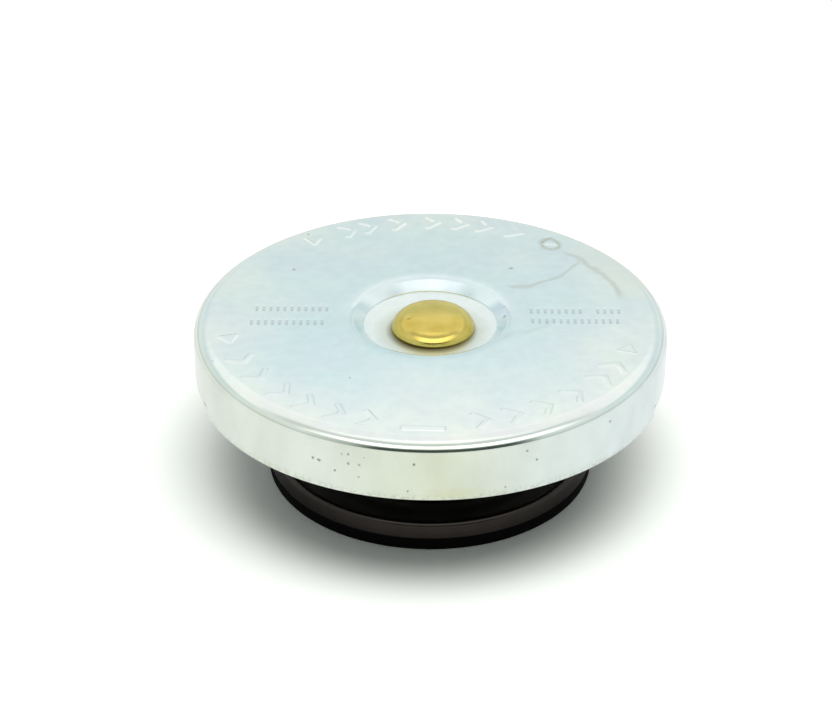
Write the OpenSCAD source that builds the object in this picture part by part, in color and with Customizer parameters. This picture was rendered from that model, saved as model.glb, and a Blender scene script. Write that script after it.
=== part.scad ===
// Radiator pressure cap: a locking shell that turns on a riveted core, with a sprung
// pressure valve under the core and a small vacuum valve in the middle of that.
// Z runs up the cap's axis, and the pressure seal rests on the plane z = 0.

/* [Shell] */
// Outside diameter of the shell
shell_d = 66; // [62:0.5:76]
// Thickness of the shell's sheet
shell_t = 0.8; // [0.6:0.05:1]
// Height of the skirt, from its rim to the top face
skirt_h = 8.8; // [8:0.1:11]
// Outside radius of the bend between the top and the skirt
corner_r = 2; // [1.1:0.1:2.6]
// Radius at which the recess meets the top face
recess_r = 11.4; // [10.8:0.1:13]
// Radius of the recess floor
recess_floor_r = 9.2; // [7.5:0.1:9.6]
// Depth of the recess round the rivet
recess_depth = 1.6; // [1.5:0.1:2.4]

/* [Locking lugs] */
// Angle that each lug covers
lug_arc = 44; // [30:1:60]
// Length of a lug, inwards from the skirt
lug_reach = 4.6; // [3.5:0.1:5.5]
// Outside radius of the fold at a lug
lug_fold_r = 1.3; // [1.1:0.1:1.8]
// Width of the slit at each end of a lug
lug_slit = 0.8; // [0.5:0.1:1.5]
// Length of the cut-off corner that leads a lug in
lug_lead = 3; // [2:0.1:4]

/* [Upper seal and friction spring] */
// Height from the pressure seal's face to the upper seal's face
reach = 19.05; // [18:0.05:24]
// Thickness of the upper seal
upper_seal_t = 1.5; // [1.2:0.1:2]
// Inside diameter of the upper seal
upper_seal_bore = 45.6; // [44:0.2:50]
// Thickness of the friction spring
friction_t = 0.4; // [0.3:0.05:0.6]
// Height of the lip that holds the upper seal's edge
friction_lip_h = 1.2; // [0.9:0.1:1.5]
// Free height between the friction spring and the shell
flex_gap = 1.75; // [1.4:0.05:2.5]

/* [Rivet] */
// Diameter of the rivet's head
rivet_head_d = 11.8; // [10:0.1:14]
// Height of the head's rounded edge
rivet_edge = 1.9; // [1.4:0.1:2.2]
// Rise of the head's dome
rivet_dome = 0.6; // [0.3:0.1:0.8]
// Diameter of the shoulder that the shell turns on
rivet_shoulder_d = 6; // [5.5:0.1:7]
// Diameter of the tail that is clenched
rivet_tail_d = 4.6; // [4:0.1:5]
// Diameter of the clenched end
rivet_clench_d = 8.4; // [7:0.1:9.4]
// Thickness of the clenched end
rivet_clench_t = 1; // [0.8:0.1:1.2]
// Outside diameter of the washer
rivet_washer_d = 10.6; // [10:0.1:13]
// Thickness of the washer
rivet_washer_t = 0.6; // [0.4:0.1:0.8]

/* [Guide cup and spring seat] */
// Outside diameter of the guide cup
cup_d = 21.6; // [19:0.1:24]
// Thickness of the guide cup's sheet
cup_t = 0.7; // [0.5:0.05:0.9]
// Width of the guide cup's out-turned rim
cup_rim_w = 2.2; // [1.8:0.1:3]
// Thickness of the spring seat
seat_t = 0.8; // [0.6:0.05:1]
// Height of the spring seat's turned-down edge
seat_edge_h = 1.8; // [1.5:0.1:2.5]

/* [Pressure valve] */
// Outside diameter of the valve plate
plate_d = 45.7; // [44:0.1:47]
// Thickness of the valve plate and its hanger
plate_t = 0.8; // [0.6:0.05:1]
// Height of the valve plate's turned-down edge
plate_edge_h = 2.25; // [2:0.05:3]
// Height of the valve plate's boss
boss_h = 3; // [2.8:0.1:3.6]
// Height of the pressure seal below the valve plate
seal_lip_h = 1.95; // [1.7:0.05:2.4]
// Diameter of the seal retainer
retainer_d = 34; // [30:0.5:37]
// Thickness of the seal retainer
retainer_t = 0.7; // [0.5:0.05:0.8]
// Width of a hanger arm
arm_w = 5; // [4:0.1:6]
// Number of hanger arms
arm_count = 4; // [3:1:5]
// Lift at which the valve is fully open
valve_lift = 3.2; // [2.5:0.1:3.5]
// Wire diameter of the pressure spring
spring_wire = 1.6; // [1.2:0.1:1.8]
// Turns of the pressure spring
spring_turns = 6; // [5:0.5:7]

/* [Vacuum valve] */
// Bore of the eyelet
eyelet_bore = 5.2; // [4.4:0.1:5.6]
// Wall of the eyelet
eyelet_wall = 0.8; // [0.6:0.05:1]
// Width of the eyelet's flanges
eyelet_flange_w = 1.5; // [1.2:0.1:1.8]
// Thickness of the eyelet's flanges
eyelet_flange_t = 0.6; // [0.4:0.05:0.8]
// Diameter of the vacuum valve's disc
vacuum_disc_d = 13.6; // [12.6:0.1:15]
// Thickness of the vacuum valve's disc
vacuum_disc_t = 0.6; // [0.4:0.05:0.7]
// Thickness of the vacuum valve's seal
vacuum_seal_t = 1; // [0.8:0.05:1.2]
// Diameter of the stem
stem_d = 2.4; // [2:0.1:2.8]
// Length of the vacuum valve's spring when closed
vacuum_spring_h = 3.6; // [3.2:0.1:4]
// Wire diameter of the vacuum valve's spring
vacuum_wire = 0.45; // [0.35:0.05:0.5]
// Turns of the vacuum valve's spring
vacuum_turns = 4.5; // [4:0.5:5]
// Thickness of the spring keeper
keeper_t = 0.5; // [0.4:0.05:0.6]

/* [Clearances] */
// Radial clearance where the shell turns on the rivet
turn_fit = 0.08; // [0.05:0.01:0.1]
// Radial clearance of a riveted hole
rivet_fit = 0.05; // [0.02:0.01:0.1]
// Gap between pieces that nest
nest_gap = 0.3; // [0.2:0.05:0.5]
// Gap at the hooks and at the lift stop
hook_gap = 0.1; // [0.05:0.05:0.2]
// Gap beside pieces that pass each other
pass_gap = 0.6; // [0.4:0.05:0.8]

/* [Hidden] */
$fn = 96;
bend_steps = 8;

// Radii of the shell and of what lies inside its skirt
shell_r = shell_d / 2;
skirt_bore_r = shell_r - shell_t;
lug_r = skirt_bore_r - lug_reach;
lug_slit_h = lug_fold_r + 0.5;
friction_edge_gap = 2;
friction_r = skirt_bore_r - friction_edge_gap;
upper_seal_r = friction_r - friction_t - nest_gap / 2;
upper_seal_bore_r = upper_seal_bore / 2;

// Heights of the stack from the upper seal to the top face
friction_rim_z = reach + upper_seal_t + friction_t;
top_z = friction_rim_z + flex_gap + shell_t;
rim_z = top_z - skirt_h;
recess_z = top_z - recess_depth;

// Heights of the riveted stack below the recess
friction_hub_z = recess_z - shell_t;
seat_z = friction_hub_z - friction_t;
cup_top_z = seat_z - seat_t;
rivet_washer_z = cup_top_z - cup_t - rivet_washer_t;
rivet_shoulder_r = rivet_shoulder_d / 2;
rivet_tail_r = rivet_tail_d / 2;
tail_hole_r = rivet_tail_r + rivet_fit;

// Heights of the pressure valve, from the seal's face up
plate_z = seal_lip_h + plate_edge_h;
boss_z = plate_z + boss_h;
hanger_z = boss_z + plate_t;
retainer_low_z = 0.95;

// Radii round the vacuum valve, from the disc out to the boss
boss_draft = 0.5;
vacuum_disc_r = vacuum_disc_d / 2;
retainer_crown_r = vacuum_disc_r + pass_gap + retainer_t;
retainer_foot_r = retainer_crown_r + boss_draft;
boss_r = retainer_crown_r + nest_gap + plate_t;
boss_foot_r = boss_r + boss_draft;
plate_r = plate_d / 2;
retainer_r = retainer_d / 2;

// Guide cup, whose rim the hanger hooks over
cup_r = cup_d / 2;
cup_rim_r = cup_r + cup_rim_w;
cup_low_z = hanger_z + valve_lift + hook_gap;
cup_rim_z = cup_low_z + cup_t;
hook_z = cup_rim_z + hook_gap;

// Hanger arms, and the springs that stand clear of what they surround
arm_in_r = cup_rim_r + pass_gap;
arm_out_r = arm_in_r + plate_t;
spring_r = norm([arm_out_r, arm_w / 2]) + pass_gap + spring_wire / 2;
seat_r = spring_r + spring_wire / 2 + nest_gap + seat_t;

// Eyelet and the pieces on the stem
eyelet_bore_r = eyelet_bore / 2;
eyelet_r = eyelet_bore_r + eyelet_wall;
eyelet_flange_r = eyelet_r + eyelet_flange_w;
eyelet_hole_r = eyelet_r + rivet_fit;
eyelet_top_z = hanger_z + eyelet_flange_t;
vacuum_seat_z = boss_z - plate_t - retainer_t - eyelet_flange_t;
vacuum_disc_z = vacuum_seat_z - vacuum_seal_t;
keeper_z = eyelet_top_z + vacuum_spring_h;
stem_r = stem_d / 2;
stem_hole_r = stem_r + rivet_fit;
stem_head_r = stem_r + 1;
stem_head_t = 0.5;
vacuum_spring_r = eyelet_bore_r + 0.7;
keeper_r = vacuum_spring_r + vacuum_wire / 2 + nest_gap + keeper_t;
keeper_edge_h = 1;

function unit(v) = v / norm(v);

// Points of the arc of radius r that rounds the corner b between a and c
function bend(a, b, c, r) =
    let (
        u = unit(a - b),
        v = unit(c - b)
    )
    norm(u + v) < 0.001 ? [b] : arc_between(b, u, v, r);

// Points of the arc of radius r that touches two lines that leave b in the directions u and v
function arc_between(b, u, v, r) =
    let (
        half = acos(u * v) / 2,
        middle = b + unit(u + v) * r / sin(half),
        first = b + u * r / tan(half) - middle,
        last = b + v * r / tan(half) - middle,
        start = atan2(first.y, first.x),
        turn = (atan2(last.y, last.x) - start + 540) % 360 - 180
    )
    [
        for (i = [0 : bend_steps])
            middle + r * [cos(start + turn * i / bend_steps), sin(start + turn * i / bend_steps)]
    ];

// A path with every inner corner rounded to its own radius
function rounded(points, radii) = [
    points[0],
    for (i = [1 : len(points) - 2])
        each bend(points[i - 1], points[i], points[i + 1], radii[i - 1]),
    points[len(points) - 1]
];

// Step to the right of a path at point i, one unit away from both of its segments
function right_step(path, i) =
    let (
        before = unit(path[max(i, 1)] - path[max(i, 1) - 1]),
        after = unit(path[min(i + 1, len(path) - 1)] - path[min(i + 1, len(path) - 1) - 1]),
        m = [before.y + after.y, -before.x - after.x] / 2
    )
    m / (m * m);

// Section of a pressed sheet: its outer face follows the points, its thickness lies to the right
module sheet_section(points, radii, thickness) {
    face = rounded(points, radii);
    back = [for (i = [len(face) - 1 : -1 : 0]) face[i] + thickness * right_step(face, i)];
    polygon(concat(face, back));
}

// Round pressing with that section
module pressing(points, radii, thickness) {
    rotate_extrude()
        sheet_section(points, radii, thickness);
}

// Flat ring with its edges broken by a small bevel
module ring(bore_r, outer_r, low_z, high_z, bevel) {
    rotate_extrude()
        polygon([
            [bore_r, low_z + bevel],
            [bore_r + bevel, low_z],
            [outer_r - bevel, low_z],
            [outer_r, low_z + bevel],
            [outer_r, high_z - bevel],
            [outer_r - bevel, high_z],
            [bore_r + bevel, high_z],
            [bore_r, high_z - bevel]
        ]);
}

// Height of a spring's wire above its lower seat after a number of turns, with closed ends
function coil_rise(turn, turns, wire, height) =
    let (
        ground = wire / 4,
        closed = wire * 1.04,
        open = (height - 2 * ground - 2 * closed) / (turns - 2)
    )
    ground + closed * min(turn, 1)
    + open * max(0, min(turn, turns - 1) - 1)
    + closed * max(0, turn - turns + 1);

// Coil spring whose two ends are ground flat on its seats
module coil_spring(coil_r, wire, low_z, high_z, turns, sides, steps) {
    height = high_z - low_z;
    rings = turns * steps;
    points = [
        for (k = [0 : rings], s = [0 : sides - 1])
            let (
                along = 360 * k / steps,
                around = 360 * (s + 0.5) / sides,
                r = coil_r + wire / 2 * cos(around),
                rise = coil_rise(k / steps, turns, wire, height) + wire / 2 * sin(around)
            )
            [r * cos(along), r * sin(along), low_z + min(max(rise, 0), height)]
    ];
    walls = [
        for (k = [0 : rings - 1], s = [0 : sides - 1])
            let (
                a = k * sides + s,
                b = k * sides + (s + 1) % sides
            )
            each [[a, a + sides, b], [b, a + sides, b + sides]]
    ];
    ends = [
        [for (s = [0 : sides - 1]) s],
        [for (s = [sides - 1 : -1 : 0]) rings * sides + s]
    ];
    polyhedron(points, concat(walls, ends));
}

// Lug folded in from the rim, joined to the skirt inside its sheet
module locking_lug() {
    sheet_middle_r = shell_r - shell_t / 2;
    fold = bend(
        [skirt_bore_r, top_z],
        [skirt_bore_r, rim_z + shell_t],
        [lug_r, rim_z + shell_t],
        lug_fold_r - shell_t
    );
    rotate([0, 0, -lug_arc / 2])
        rotate_extrude(angle = lug_arc)
            polygon(concat(
                [[lug_r, rim_z], [sheet_middle_r, rim_z], [sheet_middle_r, rim_z + lug_fold_r]],
                fold,
                [[lug_r, rim_z + shell_t]]
            ));
}

// What is taken off at a lug: the outside of its fold, a slit at each end and the leading corner
module lug_cuts() {
    clear = lug_fold_r;
    fold = bend([shell_r, top_z], [shell_r, rim_z], [lug_r, rim_z], lug_fold_r);
    rotate([0, 0, -lug_arc / 2])
        rotate_extrude(angle = lug_arc)
            polygon(concat(
                fold,
                [
                    [shell_r - lug_fold_r, rim_z - clear],
                    [shell_r + clear, rim_z - clear],
                    [shell_r + clear, rim_z + lug_fold_r]
                ]
            ));
    for (side = [-1, 1])
        rotate([0, 0, side * lug_arc / 2])
            translate([lug_r - clear, -lug_slit / 2, rim_z - clear])
                cube([lug_reach + shell_t + 2 * clear, lug_slit, lug_slit_h + clear]);
    rotate([0, 0, lug_arc / 2])
        translate([lug_r, 0, rim_z])
            rotate([0, 0, 45])
                cube([lug_lead * 3, lug_lead * sqrt(2), shell_t * 4], center = true);
}

module cap_shell() {
    color("#DCE6E4")
        difference() {
            union() {
                pressing(
                    [
                        [rivet_shoulder_r + turn_fit, recess_z],
                        [recess_floor_r, recess_z],
                        [recess_r, top_z],
                        [shell_r, top_z],
                        [shell_r, rim_z]
                    ],
                    [shell_t, shell_t * 2, corner_r],
                    shell_t
                );
                for (turn = [0, 180])
                    rotate([0, 0, turn])
                        locking_lug();
            }
            for (turn = [0, 180])
                rotate([0, 0, turn])
                    lug_cuts();
        }
}

module centre_rivet() {
    head_r = rivet_head_d / 2;
    clench_r = rivet_clench_d / 2;
    clench_z = rivet_washer_z - rivet_clench_t;
    dome = [0, recess_z + rivet_edge + rivet_dome];
    head_edge = rounded(
        [dome, [head_r * 0.6, dome.y - rivet_dome * 0.3], [head_r, recess_z + rivet_edge], [head_r, recess_z]],
        [head_r, rivet_edge]
    );
    clench_edge = rounded(
        [[clench_r, rivet_washer_z], [clench_r, clench_z], [0, clench_z]],
        [rivet_clench_t * 0.6]
    );
    color("#D2C269")
        rotate_extrude()
            polygon(concat(
                head_edge,
                [
                    [rivet_shoulder_r, recess_z],
                    [rivet_shoulder_r, seat_z],
                    [rivet_tail_r, seat_z],
                    [rivet_tail_r, rivet_washer_z]
                ],
                clench_edge
            ));
}

module rivet_washer() {
    color("#A9ABA8")
        ring(tail_hole_r, rivet_washer_d / 2, rivet_washer_z, rivet_washer_z + rivet_washer_t, 0.1);
}

module friction_spring() {
    hub_r = seat_r + nest_gap;
    color("#B9BDBB")
        pressing(
            [
                [rivet_shoulder_r + turn_fit, friction_hub_z],
                [hub_r, friction_hub_z],
                [upper_seal_bore_r, friction_rim_z],
                [friction_r, friction_rim_z],
                [friction_r, friction_rim_z - friction_lip_h]
            ],
            [4, 4, friction_t * 1.5],
            friction_t
        );
}

module upper_seal() {
    color("#1A1B1A")
        ring(upper_seal_bore_r + nest_gap, upper_seal_r, reach, reach + upper_seal_t, 0.2);
}

module spring_seat() {
    color("#A3A7A5")
        pressing(
            [[tail_hole_r, seat_z], [seat_r, seat_z], [seat_r, seat_z - seat_edge_h]],
            [seat_t * 1.5],
            seat_t
        );
}

module guide_cup() {
    color("#ABAFAC")
        pressing(
            [
                [tail_hole_r, cup_top_z],
                [cup_r, cup_top_z],
                [cup_r, cup_rim_z],
                [cup_rim_r, cup_rim_z]
            ],
            [cup_t * 2, cup_t],
            cup_t
        );
}

module pressure_spring() {
    color("#8F9492")
        coil_spring(spring_r, spring_wire, plate_z, cup_top_z, spring_turns, 10, 24);
}

module valve_plate() {
    color("#5A5955")
        pressing(
            [
                [eyelet_hole_r, boss_z],
                [boss_r, boss_z],
                [boss_foot_r, plate_z],
                [plate_r, plate_z],
                [plate_r, seal_lip_h]
            ],
            [plate_t * 1.5, plate_t, plate_t * 1.5],
            plate_t
        );
}

module valve_hanger() {
    hook_r = cup_r + pass_gap;
    hook_top_z = hook_z + plate_t;
    hub_r = eyelet_flange_r + 1.2;
    bend_r = plate_t * 1.5;
    color("#9EA29F")
        difference() {
            union() {
                translate([0, 0, boss_z])
                    cylinder(r = hub_r, h = plate_t);
                for (k = [0 : arm_count - 1])
                    rotate([90, 0, 360 * k / arm_count])
                        translate([0, 0, -arm_w / 2])
                            linear_extrude(arm_w)
                                sheet_section(
                                    [
                                        [hook_r, hook_top_z],
                                        [arm_out_r, hook_top_z],
                                        [arm_out_r, boss_z],
                                        [0, boss_z]
                                    ],
                                    [bend_r, bend_r],
                                    plate_t
                                );
            }
            translate([0, 0, boss_z - plate_t])
                cylinder(r = eyelet_hole_r, h = plate_t * 3);
        }
}

module pressure_seal() {
    lip_r = plate_r + 0.1;
    body_r = plate_r - plate_t - nest_gap / 2;
    bore_r = retainer_foot_r + nest_gap;
    under_plate_z = plate_z - plate_t;
    on_retainer_z = retainer_low_z + retainer_t;
    step_r = retainer_r + nest_gap;
    edge = 0.25;
    color("#111211")
        rotate_extrude()
            polygon([
                [bore_r, on_retainer_z],
                [step_r, on_retainer_z],
                [step_r, edge],
                [step_r + edge, 0],
                [lip_r - edge, 0],
                [lip_r, edge],
                [lip_r, seal_lip_h],
                [body_r, seal_lip_h],
                [body_r, under_plate_z - edge],
                [body_r - edge, under_plate_z],
                [bore_r, under_plate_z]
            ]);
}

module seal_retainer() {
    color("#B2AC88")
        pressing(
            [
                [eyelet_hole_r, boss_z - plate_t],
                [retainer_crown_r, boss_z - plate_t],
                [retainer_foot_r, retainer_low_z + retainer_t],
                [retainer_r, retainer_low_z + retainer_t]
            ],
            [retainer_t * 1.5, retainer_t],
            retainer_t
        );
}

module seat_eyelet() {
    color("#C9B45E")
        difference() {
            union() {
                ring(0, eyelet_flange_r, vacuum_seat_z, vacuum_seat_z + eyelet_flange_t, 0.15);
                ring(0, eyelet_flange_r, hanger_z, eyelet_top_z, 0.15);
                translate([0, 0, vacuum_seat_z])
                    cylinder(r = eyelet_r, h = eyelet_top_z - vacuum_seat_z);
            }
            translate([0, 0, vacuum_seat_z - eyelet_flange_t])
                cylinder(r = eyelet_bore_r, h = eyelet_top_z - vacuum_seat_z + 2 * eyelet_flange_t);
        }
}

// Shallow saucer that holds the seal's edge
module vacuum_disc() {
    edge_z = vacuum_disc_z + vacuum_seal_t * 0.5;
    color("#CDB862")
        pressing(
            [
                [vacuum_disc_r, edge_z],
                [vacuum_disc_r, vacuum_disc_z - vacuum_disc_t],
                [stem_hole_r, vacuum_disc_z - vacuum_disc_t]
            ],
            [vacuum_disc_t * 1.5],
            vacuum_disc_t
        );
}

module vacuum_seal() {
    seal_r = vacuum_disc_r - vacuum_disc_t - nest_gap;
    color("#141514")
        ring(stem_hole_r, seal_r, vacuum_disc_z, vacuum_seat_z, 0.1);
}

module vacuum_stem() {
    low_z = vacuum_disc_z - vacuum_disc_t;
    high_z = keeper_z + keeper_t;
    color("#C8B35B") {
        translate([0, 0, low_z])
            cylinder(r = stem_r, h = high_z - low_z);
        ring(0, stem_head_r, low_z - stem_head_t, low_z, 0.15);
        ring(0, stem_head_r, high_z, high_z + stem_head_t, 0.15);
    }
}

module vacuum_spring() {
    color("#9A9F9C")
        coil_spring(vacuum_spring_r, vacuum_wire, eyelet_top_z, keeper_z, vacuum_turns, 8, 20);
}

module spring_keeper() {
    high_z = keeper_z + keeper_t;
    color("#BDA955")
        pressing(
            [[stem_hole_r, high_z], [keeper_r, high_z], [keeper_r, high_z - keeper_edge_h]],
            [keeper_t * 1.4],
            keeper_t
        );
}

cap_shell();
centre_rivet();
rivet_washer();
friction_spring();
upper_seal();
spring_seat();
guide_cup();
pressure_spring();
valve_plate();
valve_hanger();
pressure_seal();
seal_retainer();
seat_eyelet();
vacuum_disc();
vacuum_seal();
vacuum_stem();
vacuum_spring();
spring_keeper();
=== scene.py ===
import math

import bmesh
import bpy
from mathutils import Matrix, Vector


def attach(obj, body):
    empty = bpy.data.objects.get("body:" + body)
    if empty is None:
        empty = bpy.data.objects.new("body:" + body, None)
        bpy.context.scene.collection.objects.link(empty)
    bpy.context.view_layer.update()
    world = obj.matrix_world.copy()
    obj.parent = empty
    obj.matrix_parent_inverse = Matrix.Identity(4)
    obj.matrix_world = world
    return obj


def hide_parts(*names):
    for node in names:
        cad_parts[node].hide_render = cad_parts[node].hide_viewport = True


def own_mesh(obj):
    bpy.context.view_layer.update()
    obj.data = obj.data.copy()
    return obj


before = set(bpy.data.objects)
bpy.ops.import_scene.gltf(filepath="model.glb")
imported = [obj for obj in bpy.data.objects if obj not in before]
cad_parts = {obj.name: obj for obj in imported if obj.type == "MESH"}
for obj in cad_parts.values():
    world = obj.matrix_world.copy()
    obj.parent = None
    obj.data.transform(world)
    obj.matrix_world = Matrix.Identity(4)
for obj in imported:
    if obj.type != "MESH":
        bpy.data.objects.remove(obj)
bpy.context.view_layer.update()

# Shell: the cover that the hand turns. It is drawn from one round of 0.8 mm steel sheet, stamped with
# turning marks, slit and folded in at two places under its rim to make the locking lugs, and then
# bright zinc plated. A hole in its recess turns on the rivet.
MM = 0.001


def round_corners(bm, corners, radii):
    """Rounds the corners of a line drawn in wire edges, each to its own radius in mm."""
    for corner, radius in zip(corners, radii):
        if radius:
            a, b = (edge.other_vert(corner).co - corner.co for edge in corner.link_edges)
            bmesh.ops.bevel(
                bm, geom=[corner], offset=radius * MM / math.tan(a.angle(b) / 2), offset_type="OFFSET",
                segments=6, profile=0.5, affect="VERTICES", material=-1,
            )


def spin_profile(bm, path, closed=False, start=0, sweep=360, steps=160):
    """Turns a profile about the cap's axis. Each corner is (radius, height, rounding), in mm."""
    turn = Matrix.Rotation(math.radians(start), 4, "Z")
    corners = [bm.verts.new(turn @ Vector((r, 0, z)) * MM) for r, z, rounding in path]
    sides = list(zip(corners, corners[1:] + corners[:1]))
    for side in sides if closed else sides[:-1]:
        bm.edges.new(side)
    round_corners(bm, corners, [rounding for r, z, rounding in path])
    wire = [v for v in bm.verts if not v.link_faces] + [e for e in bm.edges if not e.link_faces]
    bmesh.ops.spin(
        bm, geom=wire, cent=(0, 0, 0), axis=(0, 0, 1), angle=math.radians(sweep), steps=steps,
        use_merge=sweep == 360,
    )


def close_seams(bm):
    bmesh.ops.remove_doubles(bm, verts=bm.verts[:], dist=0.001 * MM)
    bmesh.ops.recalc_face_normals(bm, faces=bm.faces[:])


def give_wall(bm, thickness, looks_up=True):
    """Gives a sheet its thickness, on the far side of the face that looks up, or down, at its bore."""
    close_seams(bm)
    bore = min(bm.faces, key=lambda face: face.calc_center_median().xy.length)
    if (bore.normal.z > 0) != looks_up:
        bmesh.ops.reverse_faces(bm, faces=bm.faces[:])
    bm.normal_update()
    bmesh.ops.solidify(bm, geom=bm.faces[:], thickness=thickness * MM)
    bmesh.ops.recalc_face_normals(bm, faces=bm.faces[:])


def break_edges(bm, width):
    """Rounds off the sheared or moulded edges."""
    sharp = [edge for edge in bm.edges if edge.calc_face_angle(0) > math.radians(55)]
    bmesh.ops.bevel(
        bm, geom=sharp, offset=width * MM, offset_type="OFFSET", segments=2, profile=0.5,
        affect="EDGES", material=-1, clamp_overlap=True,
    )


def make_piece(name, bm, material):
    for face in bm.faces:
        face.smooth = True
    mesh = bpy.data.meshes.new(name)
    bm.to_mesh(mesh)
    bm.free()
    mesh.set_sharp_from_angle(angle=math.radians(50))
    mesh.materials.append(material)
    piece = bpy.data.objects.new(name, mesh)
    bpy.context.scene.collection.objects.link(piece)
    flat_shading = piece.modifiers.new("flat_shading", "WEIGHTED_NORMAL")
    flat_shading.keep_sharp = True
    return piece


def linear(hex_colour):
    """Linear colour of an sRGB hex value."""
    channels = [int(hex_colour[i : i + 2], 16) / 255 for i in (1, 3, 5)]
    return [c / 12.92 if c <= 0.04045 else ((c + 0.055) / 1.055) ** 2.4 for c in channels] + [1]


def add(material, kind, inputs=None, **settings):
    """Adds a shader node with its settings, and links or sets its inputs."""
    tree = material.node_tree
    node = tree.nodes.new("ShaderNode" + kind)
    for setting, value in settings.items():
        setattr(node, setting, value)
    for socket, value in (inputs or {}).items():
        if isinstance(value, bpy.types.NodeSocket):
            tree.links.new(value, node.inputs[socket])
        else:
            node.inputs[socket].default_value = value
    return node


def new_material(name):
    material = bpy.data.materials.new(name)
    material.use_nodes = True
    return material, material.node_tree.nodes["Principled BSDF"], material.node_tree.links


# Sizes of the shell in mm. Its lugs' half arc, the ends of its slits and its steps are in degrees.
TOP_Z = 23.5
RIM_Z = 14.9
SHELL_R = 33
SHELL_T = 0.8
SLIT_TOP_Z = 16.5
STEP = 1.5
LUG_HALF = 21
SLIT_END = 22.5
LUG_R = 27.6
PLATE_IN, PLATE_OUT = 12.6, 30.95

bm = bmesh.new()
spin_profile(
    bm,
    [
        (3.08, 21.9, 0), (6, 21.9, 2), (9.34, 22.04, 0.05), (9.38, 22.2, 0.08), (11, TOP_Z, 1.2),
        (PLATE_IN, TOP_Z, 0), (PLATE_OUT, TOP_Z, 0), (SHELL_R, TOP_Z, 2), (SHELL_R, SLIT_TOP_Z, 0),
    ],
    steps=round(360 / STEP),
)
for side in (0, 180):
    spin_profile(
        bm,
        [(SHELL_R, SLIT_TOP_Z, 0), (SHELL_R, RIM_Z, 1.3), (LUG_R, RIM_Z, 0)],
        start=side - LUG_HALF, sweep=2 * LUG_HALF, steps=round(2 * LUG_HALF / STEP),
    )
    rim_sweep = 180 - 2 * SLIT_END
    spin_profile(
        bm,
        [(SHELL_R, SLIT_TOP_Z, 0), (SHELL_R, RIM_Z, 0)],
        start=side + SLIT_END, sweep=rim_sweep, steps=round(rim_sweep / STEP),
    )

# The corner that leads each lug in is cut off.
LEAD = 3
for side in (0, 180):
    turn = Matrix.Rotation(math.radians(side + LUG_HALF), 4, "Z")
    tip = turn @ Vector((LUG_R, 0, RIM_Z)) * MM
    lug = [f for f in bm.faces if abs(f.calc_center_median().z - RIM_Z * MM) < 0.01 * MM]
    near = [f for f in lug if (f.calc_center_median() - tip).length < 2 * LEAD * MM]
    parts = dict.fromkeys(part for f in near for part in (f, *f.edges, *f.verts))
    bmesh.ops.bisect_plane(
        bm, geom=list(parts), plane_co=turn @ Vector((LUG_R + LEAD, 0, RIM_Z)) * MM,
        plane_no=turn @ Vector((-1, 1, 0)), clear_outer=True,
    )
give_wall(bm, SHELL_T)
break_edges(bm, 0.09)

# Turning marks: chevrons point the way to unscrew along the front and to tighten along the back,
# pressed up out of the sheet, with small stamped rows of bars on either side of the recess. RAISED and
# SUNK list the (inset, rise) of each step from a mark's outline to its middle.
MARK_R = 28.35
CHEVRON = [(-1.4, 1.68), (-0.6, 2.44), (1.72, 0), (-0.6, -2.44), (-1.4, -1.68), (0.2, 0)]
ARROWHEAD = [(-1.3, 1.9), (1.7, 0), (-1.3, -1.9)]
DASH = [(-3.05, 0.7), (3.05, 0.7), (3.05, -0.7), (-3.05, -0.7)]
BAR = [(-0.27, 0.85), (0.27, 0.85), (0.27, -0.85), (-0.27, -0.85)]
RAISED = [(0.05, 0), (0.08, 0.025), (0.14, 0.1), (0.08, 0.025)]
SUNK = [(0.03, 0), (0.07, -0.05), (0.07, -0.06)]
MARK_ROUNDING, BAR_ROUNDING = 0.42, 0.22
FRONT_LEFT = (-153.9, -144, -133.4, -124.6, -115.2, -106.4)
FRONT_RIGHT = (-76.7, -67.7, -58.6, -48.4, -37.3, -29.5)
BACK = (115.8, 109.3, 100.2, 89.6, 80.9, 73.3, 63.4)
BAR_ROWS = ((-24.3, 1.7, 11), (-24.8, -2.2, 11), (14.1, 1.3, 8), (23.4, 1.3, 4), (14.2, -1.5, 13))
BAR_PITCH = 0.98


def stamp(bm, outline, centre, along, across, rounding, steps):
    """Draws a mark's outline on the top face and presses it up or down in small steps."""
    corners = [bm.verts.new(centre + along * x + across * y) for x, y in outline]
    for side in zip(corners, corners[1:] + corners[:1]):
        bm.edges.new(side)
    round_corners(bm, corners, [rounding] * len(corners))
    face = bmesh.ops.edgeloop_fill(bm, edges=[e for e in bm.edges if e.is_wire])["faces"][0]
    face.normal_update()
    if face.normal.z < 0:
        face.normal_flip()
        face.normal_update()
    for inset, rise in steps:
        bmesh.ops.inset_individual(
            bm, faces=[face], thickness=inset * MM, depth=rise * MM, use_even_offset=True,
        )


top = Vector((0, 0, TOP_Z)) * MM
marks = [(CHEVRON, angle, MARK_R, 1) for angle in FRONT_LEFT + FRONT_RIGHT]
marks += [(CHEVRON, angle, MARK_R, -1) for angle in BACK]
marks += [(ARROWHEAD, angle, MARK_R, 1) for angle in (-165.7, -18.8)]
marks += [(ARROWHEAD, angle, MARK_R, -1) for angle in (127.2, 50.6)]
marks += [(DASH, -91.7, 29.5, 1)]
stamped = bmesh.new()
for outline, angle, radius, way in marks:
    turn = Matrix.Rotation(math.radians(angle), 3, "Z")
    out = turn @ Vector((MM, 0, 0))
    stamp(stamped, outline, top + out * radius, turn @ Vector((0, way * MM, 0)), out, MARK_ROUNDING, RAISED)
for first_x, row_y, bars in BAR_ROWS:
    for k in range(bars):
        centre = top + Vector((first_x + BAR_PITCH * k, row_y, 0)) * MM
        stamp(stamped, BAR, centre, Vector((MM, 0, 0)), Vector((0, MM, 0)), BAR_ROUNDING, SUNK)
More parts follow.
